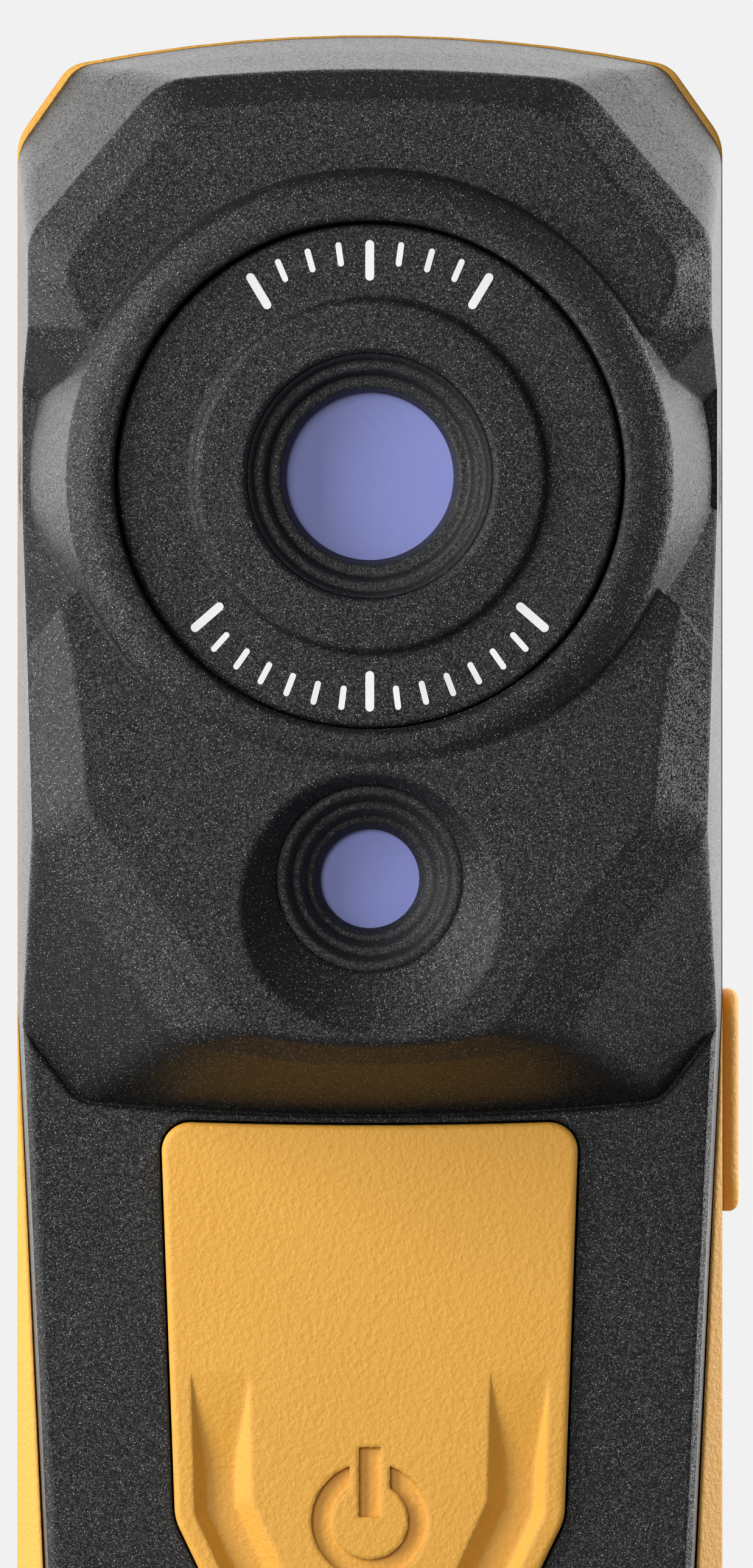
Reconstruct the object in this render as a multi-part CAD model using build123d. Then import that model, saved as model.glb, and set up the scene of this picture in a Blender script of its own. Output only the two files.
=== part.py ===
from build123d import *
import math
import os

# Handheld thermal imaging camera, stick shaped, standing on its flat lower end.
# Millimetres. +Z is up, the lenses face -Y, X is the width. The pieces are drawn with the two shells
# meeting at y = 0, and are then moved back so that the tripod thread's axis is the Z axis.
# "drop" is a distance below the top of the case, "forward" a distance in front of the shells' joint.

# ---- driving dimensions ----
total_height = 145.0
half_width = 21.0
rear_depth = 12.5
wall = 1.8
running_gap = 0.25
key_gap = 0.14
touch_gap = 0.02

# forward levels of the front shell
deck_forward = 6.2
face_forward = 6.8
shoulder_forward = 13.0
shield_edge_forward = 13.8
shield_edge_drop = 36.0
shield_edge_slope = 0.058
shield_band_rise = 2.6
band_rise = 4.0
flange_level = 1.8
soft_edge = 0.6

# infrared optics, all round one axis
infrared_drop = 26.45
barrel_base_radius = 20.9
barrel_top_radius = 17.85
rim_crest_radius = 16.4
rim_inner_radius = 15.0
rim_crest_forward = 17.0
rim_shoulder_forward = 16.3
band_forward = 16.1
disc_forward = 16.6
disc_radius = 10.54
bezel_hole_radius = 7.25
web_forward = 13.6
web_back_forward = 11.8
window_radius = 4.94

# camera optics below them
camera_drop = 50.2
scoop_drop = 51.5
scoop_radius = 7.72
scoop_rim_forward = 17.4
scoop_floor_radius = 5.5
scoop_floor_forward = 15.4
camera_window_radius = 2.92

# keys
panel_top_drop = 64.6
panel_forward = 7.5
panel_thickness = 1.9
key_sign_drop = 88.3
key_pivot_drop = 66.6
key_pivot_forward = 3.9
side_button_drop = 63.45
side_button_length = 13.3
side_button_width = 5.2
side_button_y = 3.5
side_button_proud = 1.0

# board, battery and sockets
board_top_drop = 45.5
board_bottom_drop = 142.4
board_half_width = 13.3
board_front_forward = 1.2
board_thickness = 1.0
battery_drop_range = (76.0, 128.0)
insert_y = 5.0
insert_radius = 4.0
insert_thread_radius = 2.55
insert_length = 8.0
socket_forward = 2.78
cover_half_length = 6.0
cover_width = 4.2
cover_slack = 0.1
knuckle_length = 3.5
cover_height = 1.1
cover_lift = 0.15

# screws: half width and drop of each pair through the shells
shell_screws = [(15.8, 7.6), (15.9, 74.5), (12.5, 136.5)]
shell_boss_radius = 2.5
core_boss_x = 10.0
core_boss_rise = 15.4


# ---- geometry helpers ----
def height(drop):
    return total_height - drop


def level(forward):
    """Sketch plane parallel to the front, at a forward level: local x is X, local y is Z."""
    return Plane.XZ.offset(forward)


def tilted_level(forward, drop, slope):
    """Sketch plane that is at a forward level at one drop and comes forward by slope below it."""
    foot = forward + slope * height(drop)
    return Plane(origin=(0, -foot, 0), x_dir=(1, 0, 0), z_dir=(0, -1, slope))


def outline(right_corners, radii, top_mid=None, bottom_mid=None):
    """Symmetrical face from its right-hand corners (half width, drop), listed from top to bottom.

    top_mid and bottom_mid bend the upper and lower edge into an arc through that drop.
    """
    right = [(x, height(drop)) for x, drop in right_corners]
    left = [(-x, z) for x, z in right]
    edges = [bridge(left[0], right[0], top_mid)]
    edges += [Line(a, b) for a, b in zip(right, right[1:])]
    edges += [bridge(right[-1], left[-1], bottom_mid)]
    edges += [Line(a, b) for a, b in zip(left[::-1], left[-2::-1])]
    face = make_face(edges)
    for (x, z), radius in zip(right, radii):
        if radius > 0:
            corners = [v for v in face.vertices() if math.hypot(abs(v.X) - x, v.Y - z) < 0.01]
            face = fillet(corners, radius)
    return face


def bridge(start, end, mid_drop):
    if mid_drop is None:
        return Line(start, end)
    return ThreePointArc(start, (0, height(mid_drop)), end)


def prism(face, forward_from, forward_to):
    return extrude(level(forward_from) * face, forward_to - forward_from)


def frustum(face_from, forward_from, face_to, forward_to):
    return loft([level(forward_from) * face_from, level(forward_to) * face_to], ruled=True)


def disc(radius, forward_from, forward_to, drop, x=0.0):
    face = Pos(x, height(drop)) * Circle(radius)
    return prism(face, forward_from, forward_to)


def ring(outer, inner, forward_from, forward_to, drop, x=0.0):
    return disc(outer, forward_from, forward_to, drop, x) - disc(inner, forward_from, forward_to, drop, x)


def block(x_range, drop_range, forward_range):
    size = [abs(b - a) for a, b in (x_range, forward_range, drop_range)]
    centre = (sum(x_range) / 2, -sum(forward_range) / 2, height(sum(drop_range) / 2))
    return Pos(*centre) * Box(*size)


def turned(profile, radii, drop):
    """Solid turned round an axis along Y, from a closed profile of (radius, forward)."""
    plane = Plane(origin=(0, 0, height(drop)), x_dir=(1, 0, 0), z_dir=(0, 0, -1))
    face = plane * make_face(FilletPolyline(*profile, radius=radii, close=True))
    return revolve(face, axis=Axis((0, 0, height(drop)), (0, 1, 0)))


def upright(radius, x, y, z_from, z_to):
    return Pos(x, y, (z_from + z_to) / 2) * Cylinder(radius, z_to - z_from)


def pin_along_x(radius, x_from, x_to, drop, forward):
    middle = Pos((x_from + x_to) / 2, -forward, height(drop))
    return middle * Rot(0, 90, 0) * Cylinder(radius, abs(x_to - x_from))


def side_profile(points, half_span):
    """Slab across the width, from a closed side outline of (drop, forward) points."""
    plane = Plane(origin=(half_span, 0, 0), x_dir=(0, -1, 0), z_dir=(-1, 0, 0))
    face = make_face(Polyline(*[(forward, height(drop)) for drop, forward in points], close=True))
    return extrude(plane * face, 2 * half_span)


def crowned_slab(arc, back_forward, half_span):
    """Slab whose front is an arc through three (drop, forward) points, used to crown a plateau."""
    plane = Plane(origin=(half_span, 0, 0), x_dir=(0, -1, 0), z_dir=(-1, 0, 0))
    front = [(forward, height(drop)) for drop, forward in arc]
    back_top = (back_forward, front[0][1])
    back_bottom = (back_forward, front[2][1])
    edges = [ThreePointArc(*front), Line(front[2], back_bottom)]
    edges += [Line(back_bottom, back_top), Line(back_top, front[0])]
    return extrude(plane * make_face(edges), 2 * half_span)


def with_mirror(shape):
    return shape + mirror(shape, about=Plane.YZ)


def forward_of(edge):
    return -edge.center().Y


def drop_of(edge):
    return total_height - edge.center().Z


# ---- outlines shared by the shells ----
case_corners = [(17.9, 1.8), (half_width, 6.2), (half_width, total_height)]
black_inset = 0.1
black_corners = [(17.5, 1.9), (20.95, 6.8), (20.95, 58.0), (16.9, total_height - 0.12)]
deck_corners = [(15.1, 2.3), (20.6, 9.0), (20.6, 58.0), (16.6, total_height - 0.4)]


def case_outline(inset=0.0):
    face = outline(case_corners, [2.0, 3.0, 6.0], top_mid=0.0)
    return offset(face, -inset) if inset else face


def black_outline(inset=0.0):
    face = outline(black_corners, [2.0, 3.0, 20.0, 4.5], top_mid=black_inset)
    return offset(face, -inset) if inset else face


def deck_outline():
    return outline(deck_corners, [2.4, 3.0, 20.0, 4.2], top_mid=1.1)


# ---- front shell ----
def hood():
    """Raised hood over the infrared lens: drafted walls, a sloping band and a crowned plateau."""
    deck = outline(deck_corners[:2] + [(20.6, 21.1), (16.5, 25.9)], [2.4, 3.0, 0, 0], top_mid=1.1)
    shoulder_corners = [(12.35, 3.05), (20.2, 12.25), (20.2, 17.6), (13.5, 25.6)]
    plateau_corners = [(10.3, 7.6), (16.3, 14.75), (16.3, 15.6), (9.0, 24.4)]
    shoulder = outline(shoulder_corners, [4.0, 3.0, 0, 0], top_mid=2.4)
    plateau = outline(plateau_corners, [2.6, 0.3, 0.3, 0], top_mid=6.6)
    crown = crowned_slab([(-4.0, 14.0), (11.0, 15.1), (30.0, 15.5)], 0, half_width + 5)
    walls = frustum(deck, deck_forward, shoulder, shoulder_forward)
    solid = walls + (frustum(shoulder, shoulder_forward, plateau, shoulder_forward + band_rise) & crown)
    rim = [e for e in solid.edges() if abs(forward_of(e) - shoulder_forward) < 0.02 and drop_of(e) < 25]
    solid = fillet(rim, soft_edge)
    return fillet([e for e in solid.edges() if forward_of(e) > 14.3 and drop_of(e) < 24], soft_edge)


def shield():
    """Raised shield round the camera: side walls, the chin below, a sloping band and a crowned plateau."""
    deck_corners = [(14.0, 22.4), (20.6, 28.4), (20.6, 59.3), (17.2, 63.4)]
    edge_corners = [(14.0, 30.7), (20.23, 36.4), (19.9, 47.3), (11.5, 59.7)]
    deck = outline(deck_corners, [0, 0, 1.5, 2.0], bottom_mid=64.27)
    edge = outline(edge_corners, [0, 0, 2.5, 3.0], bottom_mid=61.06)
    top = outline([(13.0, 28.6), (16.5, 31.9), (16.85, 46.0), (7.2, 59.1)], [0, 0, 4.0, 2.0], bottom_mid=59.8)
    crown = crowned_slab([(20.0, 10.6), (43.6, 16.75), (64.0, 17.2)], 0, half_width + 5)
    rim = tilted_level(shield_edge_forward, shield_edge_drop, shield_edge_slope)
    walls = loft([level(deck_forward) * deck, rim * edge], ruled=True)
    band = loft([rim * edge, rim.offset(shield_band_rise) * top], ruled=True)
    solid = walls + (band & crown)
    return fillet([e for e in solid.edges() if forward_of(e) > 15.9 and drop_of(e) > 36], 0.45)


def barrel():
    """Conical barrel with a rounded rim round the lens bezel."""
    profile = [
        (0, 2.0), (barrel_base_radius, 2.0), (barrel_base_radius, deck_forward - 2.5),
        (barrel_top_radius, rim_shoulder_forward), (rim_crest_radius, rim_crest_forward),
        (rim_inner_radius + 0.1, rim_crest_forward - 0.05), (rim_inner_radius - 0.05, web_forward),
        (0, web_forward),
    ]
    return turned(profile, [0, 0, 0, 0.7, 2.0, 0.3, 0, 0], infrared_drop)


def lower_front():
    """Flat lower face with a bevelled edge, standing slightly proud of the deck under a curved ledge."""
    face_corners = [(15.0, 2.9), (20.1, 9.2), (20.3, 58.0), (16.1, 143.9)]
    above_corners = [(30.0, -10.0), (30.0, 58.7), (20.9, 58.7), (17.3, 63.5)]
    face = outline(face_corners, [2.4, 3.0, 20.0, 3.8], top_mid=1.7)
    above = outline(above_corners, [0, 0, 0, 2.0], bottom_mid=64.33)
    slab = frustum(deck_outline(), deck_forward, face, face_forward)
    return slab - prism(above, deck_forward - 1, face_forward + 1)


def front_cavity():
    """Hollow inside the front shell: lower chamber, head chamber and the bore behind the optics."""
    lower = prism(black_outline(wall), -1, deck_forward - 1.3)
    head_base = outline([(15.5, 4.6), (18.6, 8.9), (18.6, 58.0), (17.0, 60.0)], [2, 2, 0, 0], top_mid=3.2)
    head_top = outline([(12.2, 7.0), (17.4, 13.2), (17.4, 48.0), (11.0, 57.6)], [2, 2, 0, 0], top_mid=5.6)
    head = frustum(head_base, -1, head_top, 11.0)
    bore = disc(15.6, 5.0, web_back_forward, infrared_drop)
    return lower + head + bore


def scoop():
    """Slanted conical recess in front of the camera, cut well past the plateau."""
    reach = 1.3
    top_radius = scoop_floor_radius + reach * (scoop_radius - scoop_floor_radius)
    top_drop = camera_drop + reach * (scoop_drop - camera_drop)
    top_forward = scoop_floor_forward + reach * (scoop_rim_forward - scoop_floor_forward)
    top = Pos(0, height(top_drop)) * Circle(top_radius)
    floor = Pos(0, height(camera_drop)) * Circle(scoop_floor_radius)
    return frustum(floor, scoop_floor_forward, top, top_forward)


def shell_boss(x, drop, forward_from, forward_to, hole_radius):
    boss = disc(shell_boss_radius, forward_from, forward_to, drop, x)
    hole = disc(hole_radius, forward_from - 1, forward_to - 1.2, drop, x)
    return boss, hole


def edges_on_circle(solid, radius, drop, tolerance, forward_from):
    """Edges that follow a circle round an axis along Y, in front of a forward level."""
    found = []
    for edge in solid.edges():
        points = [edge.position_at(t) for t in (0.1, 0.5, 0.9)]
        misses = [abs(math.hypot(p.X, height(drop) - p.Z) - radius) for p in points]
        if max(misses) < tolerance and forward_of(edge) > forward_from:
            found.append(edge)
    return found


def soften_front(case):
    """Rounds the rim and floor of the camera's scoop and the ledge above the key panel."""
    case = fillet(edges_on_circle(case, scoop_radius, scoop_drop, 0.35, 16.0), 0.45)
    case = fillet(edges_on_circle(case, scoop_floor_radius, camera_drop, 0.1, 14.5), 0.25)
    ledge = [e for e in case.edges() if abs(forward_of(e) - face_forward) < 0.02 and 59 < drop_of(e) < 64.5]
    return fillet(ledge, 0.35)


def front_shell():
    head_walls = frustum(black_outline(), 0, deck_outline(), deck_forward)
    lower = lower_front()
    case = head_walls + hood() + shield() + lower
    case = case + barrel() - front_cavity()
    case = case & prism(black_outline(), 0, 30)
    case = case - disc(rim_inner_radius - 0.05, web_forward, 25, infrared_drop)

    case = case - scoop()
    case = case - disc(scoop_floor_radius, 5, 20, camera_drop) - disc(6.7, 5, 11.42, camera_drop)
    case = soften_front(case)
    case = case - disc(bezel_hole_radius, 5, 20, infrared_drop)
    case = case - prism(key_outline(-key_gap), 3, 10)

    for x, drop in shell_screws:
        boss, hole = shell_boss(x, drop, 0, deck_forward - 0.6, 1.0)
        case = (case + with_mirror(boss)) - with_mirror(hole)
    for sign in (-1, 1):
        drop = infrared_drop + sign * core_boss_rise
        boss = disc(2.2, -3.6, web_back_forward + 0.5, drop, core_boss_x)
        hole = disc(0.9, -4, web_back_forward - 4, drop, core_boss_x)
        case = (case + with_mirror(boss)) - with_mirror(hole)
    case = case + with_mirror(key_bearing())
    case = case - socket_opening() - cover_recess()
    return case


# ---- rear shell ----
def rear_shell():
    body = prism(case_outline(), -rear_depth, 0)
    back_edges = body.edges().filter_by(lambda e: abs(e.center().Y - rear_depth) < 0.01)
    low = [e for e in back_edges if e.center().Z < 0.01]
    body = fillet([e for e in back_edges if e not in low], 3.6)
    body = body + cheeks()
    body = body - prism(black_outline(wall), -flange_level, 8)
    body = body - prism(case_outline(wall), -(rear_depth - wall), -flange_level)
    body = body + tripod_boss()
    for x, drop in shell_screws:
        column = disc(shell_boss_radius, -(rear_depth - 1), 0, drop, x)
        body = body + with_mirror(column)
    body = body & prism(case_outline(), -rear_depth, 8)
    for x, drop in shell_screws:
        clearance = disc(1.25, -20, 1, drop, x)
        counterbore = disc(2.1, -20, -(rear_depth - 2.4), drop, x)
        body = body - with_mirror(clearance + counterbore)
    body = body - seal_band() - tripod_hole() - side_opening() - label_recess()
    return body - cover_recess()


def cheeks():
    """Sloping cheeks on both sides of the tapering black front, flush with the rear shell's sides."""
    slope = [(half_width, 0), (half_width - 6.5, 0), (half_width - 6.5, -6.2)]
    wedge = extrude(make_face(Polyline(*slope, close=True)), height(56.0))
    wedge = wedge & prism(case_outline(), -1, 8)
    return with_mirror(wedge) - prism(black_outline(-0.05), -1, 9)


def tripod_boss():
    return upright(5.2, 0, insert_y, 0.3, insert_length + 1.6) & Pos(0, 25 + 0.2, 0) * Box(60, 50, 60)


def tripod_hole():
    return upright(insert_radius, 0, insert_y, -1, insert_length + 0.1)


def label_recess():
    return block((-12.0, 12.0), (84.0, 112.0), (-rear_depth - 1, -(rear_depth - 0.3)))


def seal_band():
    """Closed band that follows the joint between the shells."""
    band = black_outline(0.6) - black_outline(1.2)
    return prism(band, -0.8, 0.0)


# ---- infrared optics ----
def lens_bezel():
    """Round cover with a flat printed band and a raised disc round the infrared opening."""
    hole = bezel_hole_radius + touch_gap
    profile = [
        (hole, web_forward + touch_gap), (rim_inner_radius - 0.15, web_forward + touch_gap),
        (rim_inner_radius - 0.15, band_forward), (disc_radius + 0.06, band_forward - 0.05),
        (disc_radius - 0.3, disc_forward + 0.05), (hole, disc_forward + 0.15),
    ]
    return turned(profile, [0, 0, 0.3, 0.25, 0.4, 0.35], infrared_drop)


def stepped_baffle(steps, slope, flange_radius, flange_levels, counterbore_radius, counterbore_forward, drop):
    """Stepped ring in front of a window: steps are (radius, forward) from the outside inwards.

    slope is how far each step's wall draws in towards the next ledge.
    """
    lip = 0.1
    profile = [(steps[0][0], flange_levels[1])]
    radii = [0]
    for (radius, forward), (next_radius, _) in zip(steps, steps[1:]):
        profile += [(radius, forward), (next_radius + slope, forward)]
        radii += [0, lip]
    profile += [(steps[-1][0], steps[-1][1]), (steps[-1][0], counterbore_forward)]
    profile += [(counterbore_radius, counterbore_forward), (counterbore_radius, flange_levels[0])]
    profile += [(flange_radius, flange_levels[0]), (flange_radius, flange_levels[1])]
    radii += [0] * (len(profile) - len(radii))
    return turned(profile, radii, drop)


def infrared_baffle():
    steps = [(bezel_hole_radius - 0.02, 16.2), (6.8, 15.5), (5.94, 14.6), (window_radius, 13.6)]
    return stepped_baffle(steps, 0.33, 9.0, (10.8, web_back_forward), 5.65, 13.0, infrared_drop)


def infrared_window():
    return disc(5.6, 12.2, 13.0, infrared_drop)


def window_seal():
    return ring(5.6, 4.9, 11.3, 12.2, infrared_drop)


def lens_barrel():
    tube = ring(9.0, 7.0, 1.2, 10.8, infrared_drop)
    step = ring(7.2, 6.2, 1.2, 2.6, infrared_drop)
    return tube + step


def lens(radius, back_forward, edge_thickness, bulge):
    """Lens with a flat back and a domed front."""
    edge = back_forward + edge_thickness
    dome_radius = (radius ** 2 + bulge ** 2) / (2 * bulge)
    plane = Plane(origin=(0, 0, height(infrared_drop)), x_dir=(1, 0, 0), z_dir=(0, 0, -1))
    mid = (radius / 2, edge + bulge - dome_radius + math.sqrt(dome_radius ** 2 - radius ** 2 / 4))
    edges = [Line((0, back_forward), (radius, back_forward)), Line((radius, back_forward), (radius, edge))]
    edges += [ThreePointArc((radius, edge), mid, (0, edge + bulge))]
    edges += [Line((0, edge + bulge), (0, back_forward))]
    axis = Axis((0, 0, height(infrared_drop)), (0, 1, 0))
    return revolve(plane * make_face(edges), axis=axis)


def front_lens():
    return lens(6.95, 6.6, 1.6, 1.2)


def rear_lens():
    return lens(6.95, 2.6, 1.2, 0.8)


def lens_retaining_ring():
    return ring(6.98, 6.0, 8.2, 9.4, infrared_drop) - front_lens()


def lens_spacer():
    return ring(6.98, 6.3, 3.8, 6.6, infrared_drop) - rear_lens()


def shutter_frame():
    """Open tray behind the lens barrel: a blade swings across its round hole."""
    drop_range = (infrared_drop - 12.5, infrared_drop + 12.5)
    tray = block((-12.5, 16.0), drop_range, (-1.6, 1.2))
    room = block((-11.5, 15.0), (drop_range[0] + 1, drop_range[1] - 1), (-0.8, 0.4))
    mouth = disc(7.5, 0.3, 2, infrared_drop)
    aperture = disc(4.5, -2, 0, infrared_drop)
    motor_hole = disc(0.6, -2, 0, infrared_drop + 7.0, 8.5)
    return tray - room - mouth - aperture - motor_hole


def shutter_blade():
    """Thin flag on a small shaft, parked beside the hole; it covers the hole when it swings shut."""
    pivot = (8.5, height(infrared_drop + 7.0))
    parked = (9.35, height(infrared_drop - 3.98))
    flag = Pos(*parked) * Circle(5.0)
    arm = make_hull((Pos(*pivot) * Circle(1.1)).edges() + (Pos(*parked) * Circle(1.8)).edges())
    blade = prism(flag + arm, -0.4, -0.1)
    shaft = disc(0.5, -3.2, -0.1, infrared_drop + 7.0, 8.5)
    return blade + shaft


def shutter_motor():
    case = block((5.9, 12.0), (infrared_drop + 4.4, infrared_drop + 9.6), (-3.5, -1.6))
    return case - disc(0.58, -4, -1, infrared_drop + 7.0, 8.5)


def sensor_package():
    """Infrared detector array in its square package with a clear lid."""
    body = block((-9.0, 5.5), (infrared_drop - 7.5, infrared_drop + 7.5), (-3.6, -1.6))
    recess = block((-5.0, 4.6), (infrared_drop - 5.0, infrared_drop + 5.0), (-2.2, -1))
    return body - recess


def sensor_board():
    board = block((-13.0, 13.0), (infrared_drop - 17.4, infrared_drop + 17.4), (-4.6, -3.62))
    for sign in (-1, 1):
        board = board - with_mirror(disc(1.1, -6, 0, infrared_drop + sign * core_boss_rise, core_boss_x))
    return board


def screw(x, drop, head_forward, length, shaft_radius, head_radius, head_height):
    """Pan-head screw driven from the back, with a cross slot in its head."""
    shaft = disc(shaft_radius, head_forward - 0.2, head_forward + length, drop, x)
    head = disc(head_radius, head_forward - head_height, head_forward, drop, x)
    slot_range = (head_forward - head_height - 0.1, head_forward - head_height * 0.5)
    width = head_radius * 0.2
    reach = head_radius * 0.6
    across = block((x - reach, x + reach), (drop - width, drop + width), slot_range)
    upward = block((x - width, x + width), (drop - reach, drop + reach), slot_range)
    return shaft + head - across - upward


def screw_group(places, head_forward, length, shaft_radius, head_radius, head_height):
    screws = []
    for x, drop in places:
        for side in (-1, 1):
            screws.append(screw(side * x, drop, head_forward, length, shaft_radius, head_radius, head_height))
    return Compound(children=screws)


def core_screws():
    places = [(core_boss_x, infrared_drop + sign * core_boss_rise) for sign in (-1, 1)]
    return screw_group(places, -4.62, 6.5, 0.88, 1.9, 1.1)


def shell_screw_set():
    return screw_group(shell_screws, -(rear_depth - 2.38), 13.0, 0.98, 1.9, 1.2)


def sensor_flex():
    """Flat ribbon from the sensor board down to the main board."""
    start_drop = infrared_drop + 17.0
    thickness = 0.15
    outer = [(start_drop, -4.75), (48.6, -4.75), (50.6, -2.6), (50.6, -0.8)]
    inner = [(50.6 - thickness, -0.8), (50.6 - thickness, -2.54), (48.53, -4.75 + thickness)]
    inner.append((start_drop, -4.75 + thickness))
    return side_profile(outer + inner, 6.0)


# ---- camera optics ----
def camera_baffle():
    steps = [(scoop_floor_radius - 0.02, 15.3), (4.5, 14.6), (3.66, 13.9), (camera_window_radius, 13.2)]
    return stepped_baffle(steps, 0.45, 6.6, (10.4, 11.4), 3.65, 12.7, camera_drop)


def camera_window():
    return disc(3.6, 12.0, 12.7, camera_drop)


def camera_module():
    base = block((-4.25, 4.25), (camera_drop - 4.25, camera_drop + 4.25), (board_front_forward, 7.0))
    tube = disc(3.2, 7.0, 11.6, camera_drop)
    glass = disc(1.6, 11.1, 11.9, camera_drop)
    return base + tube - glass


# ---- keys ----
def key_outline(inset=0.0):
    """Panel outline: bowed upper edge, sides that draw in slightly, then a narrower rounded lower end."""
    corners = [(12.4, panel_top_drop), (11.55, 88.2), (5.6, 100.6)]
    face = outline(corners, [1.7, 3.0, 2.4], top_mid=panel_top_drop + 0.25, bottom_mid=101.2)
    return offset(face, -inset) if inset else face


def flute_face(shift, top_drop):
    """Area inside one U-shaped flute line, a set distance inside the panel's edge."""
    upper = (11.6 - shift, top_drop)
    middle = (11.35 - shift, 88.1 - 0.23 * shift)
    lower = (5.6 - 0.63 * shift, 100.6 - shift)
    corners = [upper, middle, lower]
    return outline(corners, [0, 1.2, 1.6])


def flutes():
    """U-shaped finger flute round the power sign, fading out towards its upper tips."""
    depth = 1.0
    surface = panel_forward + 0.001
    outer = frustum(flute_face(1.7, 78.0), panel_forward - depth, flute_face(0.95, 78.0), surface)
    floor = panel_forward - depth
    island = frustum(flute_face(3.3, 77.0), floor - 0.01, flute_face(4.4, 77.0), surface + 0.01)
    return outer - island - flute_ramp(panel_forward - depth)


def flute_ramp(floor_forward):
    """What stays above the flutes' floor where it rises smoothly to the panel's surface."""
    top = (panel_forward + 0.12, height(77.9))
    end = (floor_forward, height(86.6))
    middle = [(panel_forward - 0.2, height(81.0)), (floor_forward + 0.22, height(84.0))]
    curve = Spline(top, *middle, end, tangents=[(-0.06, -1), (0, -1)])
    back = floor_forward - 1.5
    closing = Polyline(end, (back, end[1]), (back, top[1]), top)
    plane = Plane(origin=(15.0, 0, 0), x_dir=(0, -1, 0), z_dir=(-1, 0, 0))
    above = block((-15.0, 15.0), (70.0, 77.9), (-floor_forward, 10.0))
    return extrude(plane * make_face([curve] + closing.edges()), 30.0) + above




def power_sign():
    """Power sign: an open ring with a bar in its gap."""
    centre = Pos(0, height(key_sign_drop))
    circle = centre * (Circle(3.47) - Circle(2.27))
    gap = Pos(0, height(key_sign_drop - 2.6)) * Rectangle(2.4, 3.4)
    bar = Pos(0, height(86.0)) * Rectangle(1.3, 4.15)
    return prism((circle - gap) + bar, panel_forward - 0.4, panel_forward + 1)


def power_key():
    """Orange key panel, hinged at its top edge on a cross pin, with a boss that presses the switch."""
    panel = prism(key_outline(), panel_forward - panel_thickness, panel_forward)
    front = panel.edges().filter_by(lambda e: abs(e.center().Y + panel_forward) < 0.01)
    panel = fillet(front, 0.35)
    panel = panel - flutes() - power_sign()
    arm = block((5.8, 7.8), (key_pivot_drop - 1.4, key_pivot_drop + 1.4), (2.7, panel_forward - 1.0))
    arm = arm - pin_along_x(0.65, 5, 9, key_pivot_drop, key_pivot_forward)
    boss = disc(1.8, 4.75, panel_forward - 1.4, key_sign_drop)
    return panel + with_mirror(arm) + boss


def key_bearing():
    """Rib of the front shell that carries one end of the key's hinge pin."""
    rib = block((8.2, 10.2), (key_pivot_drop - 6.0, key_pivot_drop + 1.3), (2.7, deck_forward - 1.0))
    rib = rib & block((8.0, 10.4), (50, key_pivot_drop + 1.3), (2.7, deck_forward))
    return rib - pin_along_x(0.62, 8.2, 9.8, key_pivot_drop, key_pivot_forward)


def key_hinge_pin():
    return pin_along_x(0.6, -9.7, 9.7, key_pivot_drop, key_pivot_forward)


def power_switch():
    body = block((-3.0, 3.0), (key_sign_drop - 3, key_sign_drop + 3), (board_front_forward, 3.6))
    return body + disc(1.5, 3.6, 4.42, key_sign_drop)


def capsule(length, width, x_from, x_to, drop, y):
    """Rounded bar across the side wall: long in Z, round-ended, between two X places."""
    plane = Plane(origin=(x_from, y, height(drop)), x_dir=(0, 1, 0), z_dir=(1, 0, 0))
    return extrude(plane * RectangleRounded(width, length, width * 0.42), x_to - x_from)


def side_opening():
    length = side_button_length + 2 * running_gap
    width = side_button_width + 2 * running_gap
    return capsule(length, width, half_width - wall - 1, half_width + 2, side_button_drop, side_button_y)


def side_button():
    """Orange side button: a rounded cap through the wall with a wider flange inside."""
    outer = half_width + side_button_proud
    cap = capsule(side_button_length, side_button_width, 18.2, outer, side_button_drop, side_button_y)
    rim = cap.edges().filter_by(lambda e: abs(e.center().X - outer) < 0.01)
    cap = fillet(rim, 0.6)
    length = side_button_length + 1.6
    width = side_button_width + 1.6
    flange = capsule(length, width, 18.0, 19.0, side_button_drop, side_button_y)
    room = block((17.0, 20.0), (50, 80), (-2.05, 5))
    return cap + flange - room


def side_switch():
    body = block((11.0, 16.6), (side_button_drop - 3, side_button_drop + 3), (-5.4, -0.2))
    return body + pin_along_x(1.2, 16.6, 17.57, side_button_drop, -side_button_y)


# ---- board, power and radio ----
def main_board():
    back = board_front_forward - board_thickness
    drops = (board_top_drop, board_bottom_drop)
    board = block((-board_half_width, board_half_width), drops, (back, board_front_forward))
    x, drop = shell_screws[-1]
    return board - with_mirror(disc(shell_boss_radius + 0.3, -1, 3, drop, x))


def board_chip(x_range, drop_range, thickness):
    back = board_front_forward - board_thickness
    return block(x_range, drop_range, (back - thickness, back))


def battery():
    body = block((-13.0, 13.0), battery_drop_range, (-9.2, -1.2))
    return fillet(body.edges().filter_by(Axis.Z), 1.5)


def battery_pad():
    return block((-12.0, 12.0), (82.0, 122.0), (-(rear_depth - wall), -9.2))


def battery_connector():
    return board_chip((-9.5, -5.5), (70.6, 73.4), 2.6)


def battery_lead():
    """Short lead that loops from the top of the battery to its connector."""
    route = [(-6.9, 5.0, height(76.0)), (-6.9, 5.0, height(68.6))]
    route += [(-6.9, 1.2, height(68.6)), (-6.9, 1.2, height(70.6))]
    path = FilletPolyline(*route, radius=[1.7, 1.7])
    return sweep(Plane(origin=path @ 0, z_dir=path % 0) * Circle(0.6), path=path)


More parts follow.
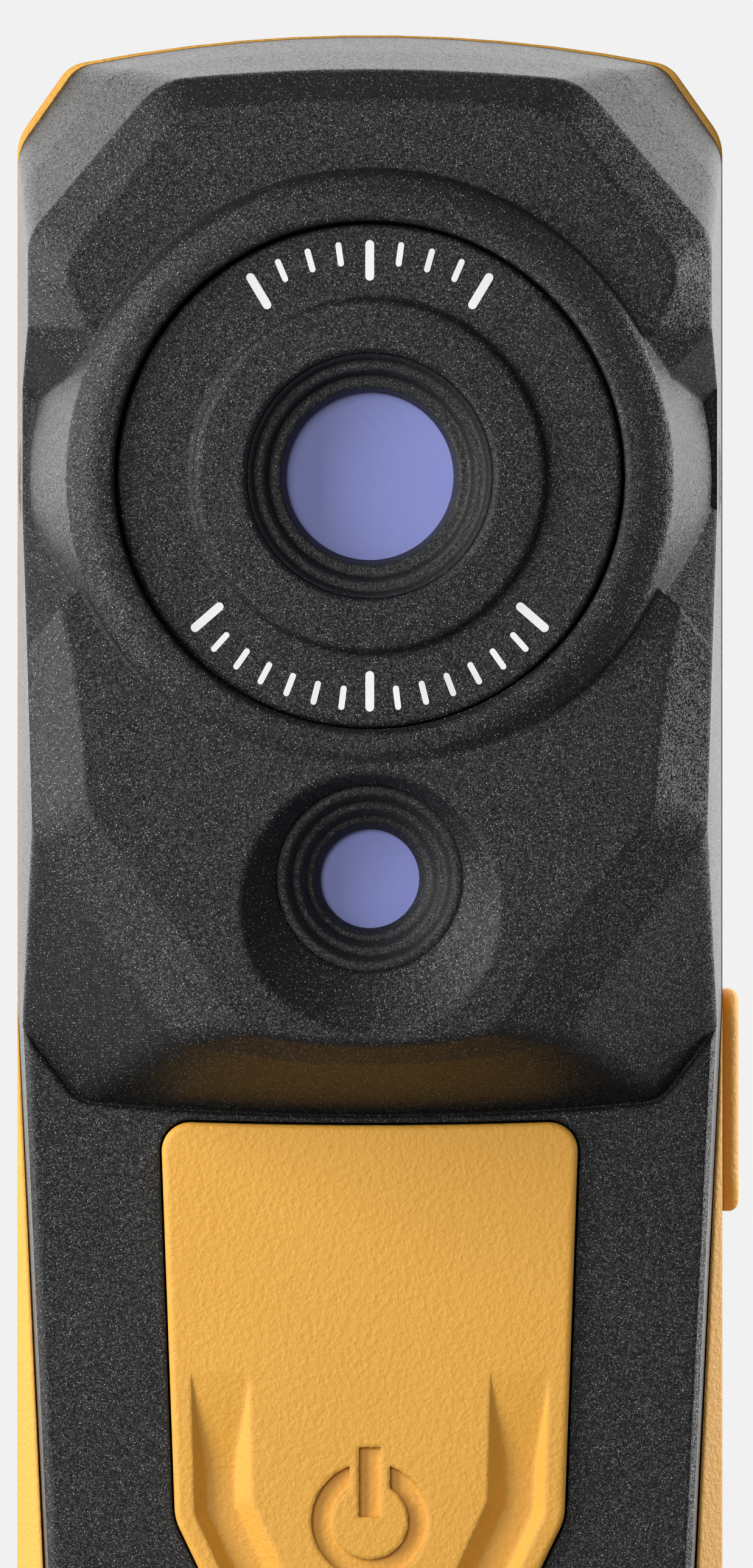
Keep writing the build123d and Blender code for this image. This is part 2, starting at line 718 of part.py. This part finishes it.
def usb_socket():
    """Metal-shelled charging socket, open downwards, with its tongue."""
    front = board_front_forward + 3.16
    shell = block((-4.47, 4.47), (total_height - 8.6, total_height - 1.6), (board_front_forward, front))
    shell = fillet(shell.edges().filter_by(Axis.Z), 1.4)
    room = block((-4.17, 4.17), (total_height - 7.4, total_height), (board_front_forward + 0.3, front - 0.3))
    room = fillet(room.edges().filter_by(Axis.Z), 1.1)
    tongue_drops = (total_height - 7.4, total_height - 2.1)
    tongue = block((-3.3, 3.3), tongue_drops, (socket_forward - 0.35, socket_forward + 0.35))
    return shell - room + tongue


def socket_opening():
    """Opening in the lower wall below the charging socket."""
    face = Pos(0, -socket_forward) * RectangleRounded(9.6, 3.8, 1.6)
    return Pos(0, 0, -1) * extrude(face, wall + 1.5)


def cover_face(gap):
    width = cover_width + 2 * gap
    return Pos(0, -socket_forward) * RectangleRounded(2 * (cover_half_length + gap), width, 1.2)


def cover_recess():
    """Shallow pocket in the lower end for the socket cover."""
    return Pos(0, 0, -1) * extrude(cover_face(running_gap), 1 + cover_lift + cover_height + 0.1)


def cover_pivot():
    return (-cover_half_length + 0.75, cover_lift + 0.55)


def usb_cover():
    """Small cover over the charging socket, swinging on a pin at its left end."""
    cover = Pos(0, 0, cover_lift) * extrude(cover_face(-cover_slack), cover_height)
    lip = Pos(0.6, -socket_forward, cover_lift + cover_height + 0.3) * Box(6.4, 2.0, 0.6)
    x, z = cover_pivot()
    hole = Pos(x, -socket_forward, z) * Rot(90, 0, 0) * Cylinder(0.33, 10)
    beyond = Pos(x - 2, -socket_forward, z) * Box(4, 10, 4)
    knuckle = Pos(x, -socket_forward, z) * Rot(90, 0, 0) * Cylinder(cover_height / 2, knuckle_length)
    return (cover - beyond) + knuckle + lip - hole


def usb_cover_pin():
    x, z = cover_pivot()
    return Pos(x, -socket_forward, z) * Rot(90, 0, 0) * Cylinder(0.3, 5.2)


def tripod_insert():
    """Brass insert with the tripod thread in the lower end."""
    body = upright(insert_radius, 0, insert_y, 0, insert_length)
    return body - upright(insert_thread_radius, 0, insert_y, -1, insert_length - 0.6)


def rating_label():
    return block((-11.8, 11.8), (84.2, 111.8), (-(rear_depth - 0.1), -(rear_depth - 0.3)))


nodes = {
    "front_shell": lambda: front_shell() - usb_cover_pin(),
    "rear_shell": rear_shell,
    "shell_seal": seal_band,
    "shell_screws": shell_screw_set,
    "lens_bezel": lens_bezel,
    "infrared_baffle": infrared_baffle,
    "infrared_window": infrared_window,
    "window_seal": window_seal,
    "lens_barrel": lens_barrel,
    "front_lens": front_lens,
    "rear_lens": rear_lens,
    "lens_spacer": lens_spacer,
    "lens_retaining_ring": lens_retaining_ring,
    "shutter_frame": shutter_frame,
    "shutter_blade": shutter_blade,
    "shutter_motor": shutter_motor,
    "sensor_package": sensor_package,
    "sensor_board": sensor_board,
    "core_screws": core_screws,
    "sensor_flex": sensor_flex,
    "camera_baffle": camera_baffle,
    "camera_window": camera_window,
    "camera_module": camera_module,
    "power_key": power_key,
    "key_hinge_pin": key_hinge_pin,
    "power_switch": power_switch,
    "side_button": side_button,
    "side_switch": side_switch,
    "main_board": main_board,
    "processor_chip": lambda: board_chip((-2.0, 8.0), (56.0, 66.0), 1.2),
    "radio_module": lambda: board_chip((-12.0, -3.5), (55.0, 66.0), 1.8),
    "flex_connector": lambda: board_chip((-6.6, 6.6), (49.6, 51.6), 1.0),
    "battery": battery,
    "battery_pad": battery_pad,
    "battery_connector": battery_connector,
    "battery_lead": battery_lead,
    "usb_socket": usb_socket,
    "usb_cover": usb_cover,
    "usb_cover_pin": usb_cover_pin,
    "tripod_insert": tripod_insert,
    "rating_label": rating_label,
}

os.makedirs("parts", exist_ok=True)
for name, make in nodes.items():
    shape = Pos(0, -insert_y, 0) * make()
    export_step(shape, "parts/" + name + ".step")
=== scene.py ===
import math
import bmesh
import bpy
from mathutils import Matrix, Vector


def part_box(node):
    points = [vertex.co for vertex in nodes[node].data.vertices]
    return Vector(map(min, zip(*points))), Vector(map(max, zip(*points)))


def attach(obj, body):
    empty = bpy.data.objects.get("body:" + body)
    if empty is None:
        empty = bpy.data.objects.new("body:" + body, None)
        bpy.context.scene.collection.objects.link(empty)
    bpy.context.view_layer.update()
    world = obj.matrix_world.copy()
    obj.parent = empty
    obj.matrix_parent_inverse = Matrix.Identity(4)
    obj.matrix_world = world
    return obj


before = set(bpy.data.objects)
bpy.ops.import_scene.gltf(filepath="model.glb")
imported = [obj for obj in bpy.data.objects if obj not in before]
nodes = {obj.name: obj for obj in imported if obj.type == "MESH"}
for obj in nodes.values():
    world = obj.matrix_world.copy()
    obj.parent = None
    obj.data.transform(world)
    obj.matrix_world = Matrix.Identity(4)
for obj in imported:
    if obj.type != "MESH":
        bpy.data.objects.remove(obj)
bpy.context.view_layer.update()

MM = 0.001
EDGE_SOFTNESS = 0.40 * MM
CELL_TURN_AXIS = (0.47, 0.61, 0.64)  # no face of the case lies along the cells' own grid
CELL_TURN = 1.1
FACETS_PER_MM = 15.0
# how closely the light grey painted glint specks lie in the black plastic's colour
PAINTED_GLINTS_PER_MM = 8.5

# printed marks: how far from the opening's centre they run, and how wide they are
MARK_THICKNESS = 0.02 * MM
MARK_END_STEPS = 8
MARK_OUTER = 13.9 * MM
LONG_MARK_INNER = 11.5 * MM
SHORT_MARK_INNER = 12.45 * MM
LONG_MARK_WIDTH = 0.52 * MM
SHORT_MARK_WIDTH = 0.36 * MM
# middle and half spread in degrees, number of marks, every how many marks a long one stands
MARK_ARCS = [(0.0, 31.0, 9, 4), (180.0, 49.0, 15, 7)]

# the picture that the camera is framed for, in its own pixels
IMAGE_HEIGHT = 2576
CASE_WIDTH_IN_IMAGE = 1164.0
TOP_MARGIN_IN_IMAGE = 52.0
RIGHT_OF_MIDDLE_IN_IMAGE = 11.0
CAMERA_DISTANCE = 1.5
SENSOR_WIDTH_MM = 36.0

# light from the surroundings, and what the camera sees of them
BEHIND_LIGHT = 3.2
FRONT_LIGHT = 0.13
SEEN_GREY = 0.88
# lamps: name, place and size in metres, power in watts
LAMPS = [
    ("front", (-0.22, -0.83, 0.30), (0.40, 0.40), 3.05),
    ("left", (-0.21, -0.13, 0.14), (0.10, 0.26), 0.86),
    ("right", (0.50, 0.10, 0.20), (0.20, 0.30), 3.4),
    ("left_back", (-0.50, 0.12, 0.20), (0.20, 0.30), 0.8),
]

CASE_LOW, CASE_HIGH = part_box("rear_shell")
CASE_WIDTH = CASE_HIGH[0] - CASE_LOW[0]
CASE_TOP = CASE_HIGH[2]


# ---- node helpers ----
class Graph:
    """A small builder for one material's node tree."""

    def __init__(self, name):
        self.material = bpy.data.materials.new(name)
        self.material.use_nodes = True
        self.tree = self.material.node_tree
        self.shader = self.tree.nodes["Principled BSDF"]
        self.place = self.add("ShaderNodeTexCoord").outputs["Object"]

    def add(self, kind, **settings):
        node = self.tree.nodes.new(kind)
        for key, value in settings.items():
            setattr(node, key, value)
        return node

    def link(self, source, target):
        self.tree.links.new(source, target)

    def set(self, **values):
        for key, value in values.items():
            self.shader.inputs[key.replace("_", " ")].default_value = value

    def scaled(self, per_mm):
        """Object coordinates multiplied so that one unit is 1 / per_mm millimetres."""
        node = self.add("ShaderNodeVectorMath", operation="MULTIPLY")
        factor = per_mm / MM
        node.inputs[1].default_value = (factor, factor, factor)
        self.link(self.place, node.inputs[0])
        return node.outputs[0]

    def noise(self, per_mm, detail=2.0, roughness=0.5):
        node = self.add("ShaderNodeTexNoise")
        node.inputs["Scale"].default_value = 1.0
        node.inputs["Detail"].default_value = detail
        node.inputs["Roughness"].default_value = roughness
        self.link(self.scaled(per_mm), node.inputs["Vector"])
        return node.outputs["Fac"]

    def cells(self, per_mm, output="Distance", feature="F1", smooth=None):
        node = self.add("ShaderNodeTexVoronoi", feature=feature)
        node.inputs["Scale"].default_value = 1.0
        if smooth is not None:
            node.inputs["Smoothness"].default_value = smooth
        turned = self.add("ShaderNodeVectorRotate", rotation_type="AXIS_ANGLE")
        turned.inputs["Axis"].default_value = CELL_TURN_AXIS
        turned.inputs["Angle"].default_value = CELL_TURN
        self.link(self.scaled(per_mm), turned.inputs["Vector"])
        self.link(turned.outputs[0], node.inputs["Vector"])
        return node.outputs[output]

    def ramp(self, source, stops):
        """Colour ramp from (place, value or colour) stops."""
        node = self.add("ShaderNodeValToRGB")
        ramp = node.color_ramp
        while len(ramp.elements) < len(stops):
            ramp.elements.new(0.5)
        for element, (place, value) in zip(ramp.elements, stops):
            element.position = place
            colour = value if isinstance(value, tuple) else (value, value, value)
            element.color = (*colour, 1.0)
        self.link(source, node.inputs[0])
        return node.outputs["Color"]

    def math(self, operation, a, b):
        node = self.add("ShaderNodeMath", operation=operation)
        for value, socket in ((a, node.inputs[0]), (b, node.inputs[1])):
            if isinstance(value, (int, float)):
                socket.default_value = value
            else:
                self.link(value, socket)
        return node.outputs[0]

    def mix(self, factor, a, b):
        node = self.add("ShaderNodeMix", data_type="RGBA")
        for value, socket in ((factor, node.inputs[0]), (a, node.inputs[6]), (b, node.inputs[7])):
            if isinstance(value, (int, float)):
                socket.default_value = value
            elif isinstance(value, tuple):
                socket.default_value = (*value, 1.0)
            else:
                self.link(value, socket)
        return node.outputs[2]

    def rounded_edges(self):
        """Normals that turn softly over edges the shells leave sharp."""
        node = self.add("ShaderNodeBevel", samples=4)
        node.inputs["Radius"].default_value = EDGE_SOFTNESS
        return node.outputs["Normal"]

    def facet_normal(self, facets, tilt):
        """Surface normal tipped at random, cell by cell."""
        centred = self.add("ShaderNodeVectorMath", operation="SUBTRACT")
        self.link(facets, centred.inputs[0])
        centred.inputs[1].default_value = (0.5, 0.5, 0.5)
        tipped = self.add("ShaderNodeVectorMath", operation="MULTIPLY_ADD")
        self.link(centred.outputs[0], tipped.inputs[0])
        tipped.inputs[1].default_value = (2 * tilt, 2 * tilt, 2 * tilt)
        self.link(self.rounded_edges(), tipped.inputs[2])
        unit = self.add("ShaderNodeVectorMath", operation="NORMALIZE")
        self.link(tipped.outputs[0], unit.inputs[0])
        return unit.outputs[0]

    def bump(self, height, depth_mm, below=None):
        node = self.add("ShaderNodeBump")
        node.inputs["Distance"].default_value = depth_mm * MM
        node.inputs["Strength"].default_value = 1.0
        self.link(height, node.inputs["Height"])
        if below is not None:
            self.link(below, node.inputs["Normal"])
        return node.outputs["Normal"]

    def finish(self, colour=None, roughness=None, normal=None):
        for source, name in ((colour, "Base Color"), (roughness, "Roughness"), (normal, "Normal")):
            if source is not None:
                self.link(source, self.shader.inputs[name])
        return self.material


# ---- materials ----
def spark_eroded(name, tilt, colour_range, painted_glint_colour):
    """Black moulded plastic with a spark-eroded surface: tiny facets tipped at random, and light grey
    specks painted into the colour as painted glints.
    """
    graph = Graph(name)
    facets = graph.cells(FACETS_PER_MM, output="Color")
    body = graph.ramp(graph.noise(0.06, detail=3.0), [(0.3, colour_range[0]), (0.7, colour_range[1])])
    # painted highlight: some cells get a light grey painted glint dot mixed into the base colour
    chance = graph.cells(PAINTED_GLINTS_PER_MM, output="Color")
    painted_glint_mask = graph.ramp(chance, [(0.0, 0.0), (0.58, 0.0), (0.92, 1.0)])
    dots = graph.ramp(graph.cells(PAINTED_GLINTS_PER_MM), [(0.0, 1.0), (0.20, 0.9), (0.34, 0.0)])
    colour = graph.mix(graph.math("MULTIPLY", painted_glint_mask, dots), body, painted_glint_colour)
    roughness = graph.ramp(facets, [(0.2, 0.34), (0.8, 0.58)])
    graph.set(Specular_IOR_Level=0.36)
    return graph.finish(colour, roughness, graph.facet_normal(facets, tilt))


def orange_plastic():
    """Orange moulded plastic with a fine leather-like grain."""
    graph = Graph("orange_plastic")
    leather = graph.cells(2.9, feature="SMOOTH_F1", smooth=0.7)
    creases = graph.noise(5.5, detail=4.0, roughness=0.65)
    shades = [(0.3, (0.71, 0.338, 0.034)), (0.7, (0.74, 0.360, 0.040))]
    tint = graph.ramp(graph.noise(0.08, detail=2.0), shades)
    # lighter orange where the crease noise is high
    paler_with_crease_noise = graph.ramp(creases, [(0.35, 0.0), (0.75, 0.35)])
    colour = graph.mix(paler_with_crease_noise, tint, (0.80, 0.44, 0.09))
    roughness = graph.ramp(creases, [(0.3, 0.42), (0.7, 0.60)])
    normal = graph.bump(leather, 0.030, below=graph.rounded_edges())
    normal = graph.bump(creases, 0.045, below=normal)
    return graph.finish(colour, roughness, normal)


def coated_window():
    """Flat violet-blue coated germanium with very slight mottling."""
    graph = Graph("coated_window")
    shades = [(0.3, (0.218, 0.244, 0.560)), (0.7, (0.228, 0.256, 0.580))]
    colour = graph.ramp(graph.noise(0.25, detail=2.0), shades)
    graph.set(Specular_IOR_Level=0.25, Coat_Weight=0.15, Coat_Roughness=0.1)
    roughness = graph.ramp(graph.noise(0.6), [(0.3, 0.22), (0.7, 0.30)])
    return graph.finish(colour, roughness)


def metal(name, colour, roughness):
    graph = Graph(name)
    graph.set(Metallic=1.0)
    streaks = graph.noise(3.0, detail=4.0)
    dark = tuple(c * 0.82 for c in colour)
    tint = graph.ramp(streaks, [(0.3, dark), (0.7, colour)])
    rough = graph.ramp(streaks, [(0.3, roughness * 0.8), (0.7, roughness * 1.25)])
    return graph.finish(tint, rough, graph.bump(streaks, 0.006))


def moulded(name, dark, light, roughness, grain_per_mm=6.0, depth=0.008):
    graph = Graph(name)
    grain = graph.noise(grain_per_mm, detail=3.0)
    tint = graph.ramp(graph.noise(0.3, detail=2.0), [(0.3, dark), (0.7, light)])
    rough = graph.ramp(grain, [(0.3, roughness * 0.85), (0.7, roughness * 1.15)])
    return graph.finish(tint, rough, graph.bump(grain, depth))


def print_ink():
    return moulded("print_ink", (0.72,) * 3, (0.82,) * 3, 0.5, grain_per_mm=8.0, depth=0.004)


def painted(objects, material):
    for name in objects:
        data = nodes[name].data
        data.materials.clear()
        data.materials.append(material)


# the last argument is the colour of the painted glint specks
black = spark_eroded("black_plastic", 0.34, ((0.008,) * 3, (0.011,) * 3), (0.42, 0.42, 0.42))
painted(["front_shell", "lens_bezel"], black)
baffle = spark_eroded("baffle_plastic", 0.22, ((0.009,) * 3, (0.012,) * 3), (0.16, 0.16, 0.16))
painted(["infrared_baffle", "camera_baffle"], baffle)
painted(["rear_shell", "power_key", "side_button"], orange_plastic())
painted(["infrared_window", "camera_window"], coated_window())
painted(["front_lens", "rear_lens"], metal("germanium", (0.42, 0.42, 0.46), 0.12))
aluminium = metal("aluminium_part", (0.68, 0.69, 0.70), 0.38)
painted(["lens_barrel", "lens_spacer", "lens_retaining_ring", "shutter_frame"], aluminium)
steel = metal("steel_part", (0.52, 0.52, 0.53), 0.34)
painted(["shell_screws", "core_screws", "key_hinge_pin", "usb_cover_pin", "usb_socket"], steel)
painted(["shutter_motor", "radio_module", "shutter_blade"], steel)
painted(["tripod_insert"], metal("brass_part", (0.72, 0.50, 0.20), 0.30))
rubber = moulded("seal_rubber", (0.018,) * 3, (0.028,) * 3, 0.6)
painted(["shell_seal", "window_seal", "usb_cover"], rubber)
green_board = moulded("board", (0.012, 0.10, 0.045), (0.018, 0.14, 0.06), 0.42)
painted(["main_board", "sensor_board"], green_board)
chips = ["processor_chip", "sensor_package", "camera_module", "power_switch", "side_switch"]
painted(chips + ["battery_connector", "flex_connector"], moulded("chip", (0.02,) * 3, (0.03,) * 3, 0.5))
painted(["sensor_flex"], moulded("flex", (0.42, 0.20, 0.03), (0.52, 0.26, 0.05), 0.3))
wrap = moulded("battery_wrap", (0.03, 0.09, 0.28), (0.04, 0.12, 0.34), 0.35, grain_per_mm=1.0)
painted(["battery"], wrap)
painted(["battery_pad"], moulded("foam", (0.05,) * 3, (0.08,) * 3, 0.9, depth=0.05))
painted(["rating_label"], moulded("label", (0.50, 0.50, 0.49), (0.56, 0.56, 0.55), 0.4, depth=0.003))
painted(["battery_lead"], moulded("lead", (0.40, 0.02, 0.02), (0.48, 0.03, 0.03), 0.4))


# ---- printed marks on the flat band of the lens bezel ----
def printed_marks():
    """White scale marks in two arcs, above and below the infrared opening."""
    low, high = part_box("lens_bezel")
    middle_x = (low[0] + high[0]) / 2
    middle_z = (low[2] + high[2]) / 2
    bezel = nodes["lens_bezel"]
    start_y = low[1] - 5 * MM
    shape = bmesh.new()

    def on_surface(radius, angle, lift):
        x = middle_x + radius * math.sin(angle)
        z = middle_z + radius * math.cos(angle)
        hit, place, _, _ = bezel.ray_cast(Vector((x, start_y, z)), Vector((0, 1, 0)))
        return Vector((x, (place.y if hit else low[1]) - lift, z))

    def mark(angle, radius_from, radius_to, width):
        """Thin raised bar with rounded ends, lying along a radius."""
        ring = []
        for end, facing in ((radius_to, 1), (radius_from, -1)):
            for step in range(MARK_END_STEPS + 1):
                turn = math.pi * (step / MARK_END_STEPS - 0.5) * facing
                across = math.sin(turn) * width / 2
                along = facing * math.cos(turn) * width / 2
                radius = end - facing * width / 2 + along
                ring.append((radius, angle + across / radius))
        tops = [shape.verts.new(on_surface(radius, turn, MARK_THICKNESS)) for radius, turn in ring]
        feet = [shape.verts.new(on_surface(radius, turn, -MARK_THICKNESS)) for radius, turn in ring]
        shape.faces.new(tops)
        for i, top in enumerate(tops):
            after = (i + 1) % len(tops)
            shape.faces.new((top, feet[i], feet[after], tops[after]))

    for middle, spread, count, long_every in MARK_ARCS:
        for i in range(count):
            angle = math.radians(middle - spread + 2 * spread * i / (count - 1))
            if i % long_every == 0:
                mark(angle, LONG_MARK_INNER, MARK_OUTER, LONG_MARK_WIDTH)
            else:
                mark(angle, SHORT_MARK_INNER, MARK_OUTER, SHORT_MARK_WIDTH)
    bmesh.ops.recalc_face_normals(shape, faces=shape.faces)
    mesh = bpy.data.meshes.new("printed_marks")
    shape.to_mesh(mesh)
    shape.free()
    piece = bpy.data.objects.new("printed_marks", mesh)
    bpy.context.collection.objects.link(piece)
    mesh.materials.append(print_ink())
    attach(piece, "case")


printed_marks()


# ---- floor, light and camera ----
def floor():
    """Pale disc, which looks paler to the camera than it is to the light it sends back."""
    bpy.ops.mesh.primitive_circle_add(vertices=96, radius=0.9, fill_type="NGON", location=(0, 0, 0))
    disc = bpy.context.object
    disc.name = "floor"
    graph = Graph("floor")
    tint = graph.ramp(graph.noise(0.01, detail=2.0), [(0.3, 0.70), (0.7, 0.72)])
    sight = graph.add("ShaderNodeLightPath").outputs["Is Camera Ray"]
    colour = graph.mix(sight, (0.12, 0.12, 0.12), tint)
    roughness = graph.ramp(graph.noise(0.2), [(0.3, 0.85), (0.7, 0.95)])
    disc.data.materials.append(graph.finish(colour, roughness))


def soft_light(name, place, target, size, power):
    data = bpy.data.lights.new(name, "AREA")
    data.shape = "RECTANGLE"
    data.size, data.size_y = size
    data.energy = power
    lamp = bpy.data.objects.new(name, data)
    lamp.location = place
    lamp.rotation_euler = (Vector(target) - Vector(place)).to_track_quat("-Z", "Y").to_euler()
    bpy.context.collection.objects.link(lamp)


def studio():
    """Bright behind the object, dim elsewhere, with soft lamps at the front and at both sides."""
    scene = bpy.context.scene
    scene.view_settings.view_transform = "Standard"
    world = bpy.data.worlds.new("studio")
    scene.world = world
    world.use_nodes = True
    tree = world.node_tree
    lighting = tree.nodes["Background"]
    direction = tree.nodes.new("ShaderNodeTexCoord")
    split = tree.nodes.new("ShaderNodeSeparateXYZ")
    ramp = tree.nodes.new("ShaderNodeMapRange")
    ramp.interpolation_type = "SMOOTHSTEP"
    ramp.inputs["From Min"].default_value = 0.35
    ramp.inputs["From Max"].default_value = 0.88
    ramp.inputs["To Min"].default_value = FRONT_LIGHT
    ramp.inputs["To Max"].default_value = BEHIND_LIGHT
    tree.links.new(direction.outputs["Generated"], split.inputs[0])
    tree.links.new(split.outputs["Y"], ramp.inputs["Value"])
    tree.links.new(ramp.outputs[0], lighting.inputs["Color"])
    seen = tree.nodes.new("ShaderNodeBackground")
    seen.inputs["Color"].default_value = (SEEN_GREY, SEEN_GREY, SEEN_GREY, 1)
    path = tree.nodes.new("ShaderNodeLightPath")
    either = tree.nodes.new("ShaderNodeMixShader")
    tree.links.new(path.outputs["Is Camera Ray"], either.inputs[0])
    tree.links.new(lighting.outputs[0], either.inputs[1])
    tree.links.new(seen.outputs[0], either.inputs[2])
    tree.links.new(either.outputs[0], tree.nodes["World Output"].inputs["Surface"])
    middle = (0, 0, CASE_TOP * 0.65)
    for name, place, size, power in LAMPS:
        soft_light(name, place, middle, size, power)


def camera():
    """Straight-on view of the upper part of the case, through a long lens."""
    metres_per_pixel = CASE_WIDTH / CASE_WIDTH_IN_IMAGE
    view_height = IMAGE_HEIGHT * metres_per_pixel
    data = bpy.data.cameras.new("camera")
    data.sensor_width = SENSOR_WIDTH_MM
    data.lens = CAMERA_DISTANCE * SENSOR_WIDTH_MM / view_height
    data.clip_end = 50.0
    eye = bpy.data.objects.new("camera", data)
    right_of_middle = RIGHT_OF_MIDDLE_IN_IMAGE * metres_per_pixel
    below_top = (IMAGE_HEIGHT / 2 - TOP_MARGIN_IN_IMAGE) * metres_per_pixel
    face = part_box("power_key")[0][1]
    eye.location = (right_of_middle, face - CAMERA_DISTANCE, CASE_TOP - below_top)
    eye.rotation_euler = (math.pi / 2, 0, 0)
    bpy.context.collection.objects.link(eye)
    bpy.context.scene.camera = eye


floor()
studio()
camera()
